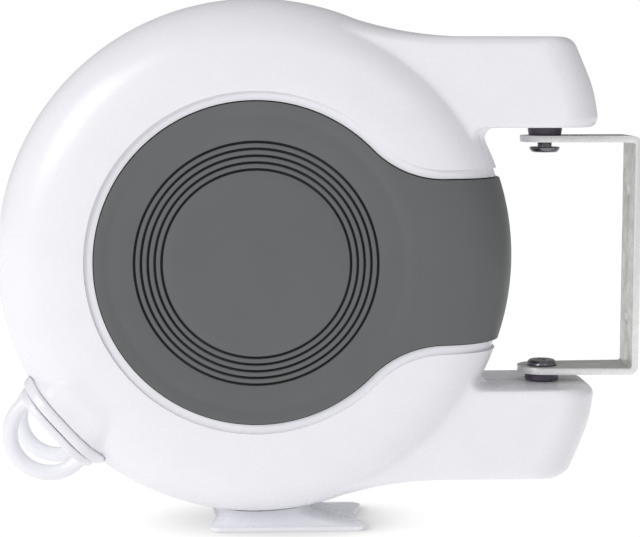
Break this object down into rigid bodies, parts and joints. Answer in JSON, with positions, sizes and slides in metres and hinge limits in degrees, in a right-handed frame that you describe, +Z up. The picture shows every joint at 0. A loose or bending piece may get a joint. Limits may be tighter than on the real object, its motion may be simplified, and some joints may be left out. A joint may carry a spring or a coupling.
{
  "type": "retractable clothesline reel",
  "caption": "Round wall-hung reel housing that swivels on a U bracket, with retracting lines, finger loops on the line ends and flared cleats below.",
  "frame": {"origin": "centre of the wall bracket's face against the wall", "axes": "+Z up, +X towards the wall, the grey panel that is seen first faces -Y"},
  "size_m": [0.2478, 0.069, 0.2043],
  "materials": {
    "white_plastic": "gloss",
    "grey_plastic": "matt",
    "dark_plastic": "matt",
    "drum_plastic": "satin",
    "zinc_steel": "zinc plated",
    "screw_steel": "dark nickel",
    "spring_steel": "blued",
    "axle_steel": "ground",
    "line_pvc": "smooth"
  },
  "bodies": {
    "bracket": {"wall_bracket": "zinc_steel"},
    "housing": {"front_shell": "white_plastic", "rear_shell": "white_plastic", "front_panel": "grey_plastic", "rear_panel": "grey_plastic", "outlet_plate": "white_plastic", "front_eyelet": "dark_plastic", "rear_eyelet": "dark_plastic", "drum_axle": "axle_steel", "divider_plate": "drum_plastic", "front_line_inner": "line_pvc", "rear_line_inner": "line_pvc", "front_cleat": "white_plastic", "rear_cleat": "white_plastic", "cleat_screws": "screw_steel", "shell_screws": "screw_steel", "upper_pivot_bush": "dark_plastic", "lower_pivot_bush": "dark_plastic", "upper_pivot_screw": "screw_steel", "lower_pivot_screw": "screw_steel"},
    "front_spool": {"front_drum": "drum_plastic", "front_line_coil": "line_pvc", "front_mainspring": "spring_steel"},
    "rear_spool": {"rear_drum": "drum_plastic", "rear_line_coil": "line_pvc", "rear_mainspring": "spring_steel"},
    "front_pull": {"front_pull_handle": "white_plastic", "front_line_lead": "line_pvc"},
    "rear_pull": {"rear_pull_handle": "white_plastic", "rear_line_lead": "line_pvc"}
  },
  "joints": [
    {"name": "swivel", "type": "hinge", "parent": "bracket", "child": "housing", "pos_m": [-0.036, 0, 0], "axis": [0, 0, 1], "range_deg": [-90, 90]},
    {"name": "front_drum_spin", "type": "hinge", "parent": "housing", "child": "front_spool", "pos_m": [-0.149, 0, 0], "axis": [0, 1, 0], "range_deg": [0, 360], "stiffness_Nm_per_rad": 0.02, "springref_deg": -687.55},
    {"name": "front_line_pull", "type": "slide", "parent": "housing", "child": "front_pull", "axis": [-0.7431, 0, -0.6691], "range_m": [0, 0.369], "deforming": ["front_line_lead"]},
    {"name": "rear_drum_spin", "type": "hinge", "parent": "housing", "child": "rear_spool", "pos_m": [-0.149, 0, 0], "axis": [0, 1, 0], "range_deg": [0, 360], "stiffness_Nm_per_rad": 0.02, "springref_deg": -687.55},
    {"name": "rear_line_pull", "type": "slide", "parent": "housing", "child": "rear_pull", "axis": [-0.7431, 0, -0.6691], "range_m": [0, 0.369], "deforming": ["rear_line_lead"]}
  ],
  "couplings": [
    {"joint": "front_line_pull", "follows": "front_drum_spin", "m_per_rad": 0.0587},
    {"joint": "rear_line_pull", "follows": "rear_drum_spin", "m_per_rad": 0.0587}
  ]
}
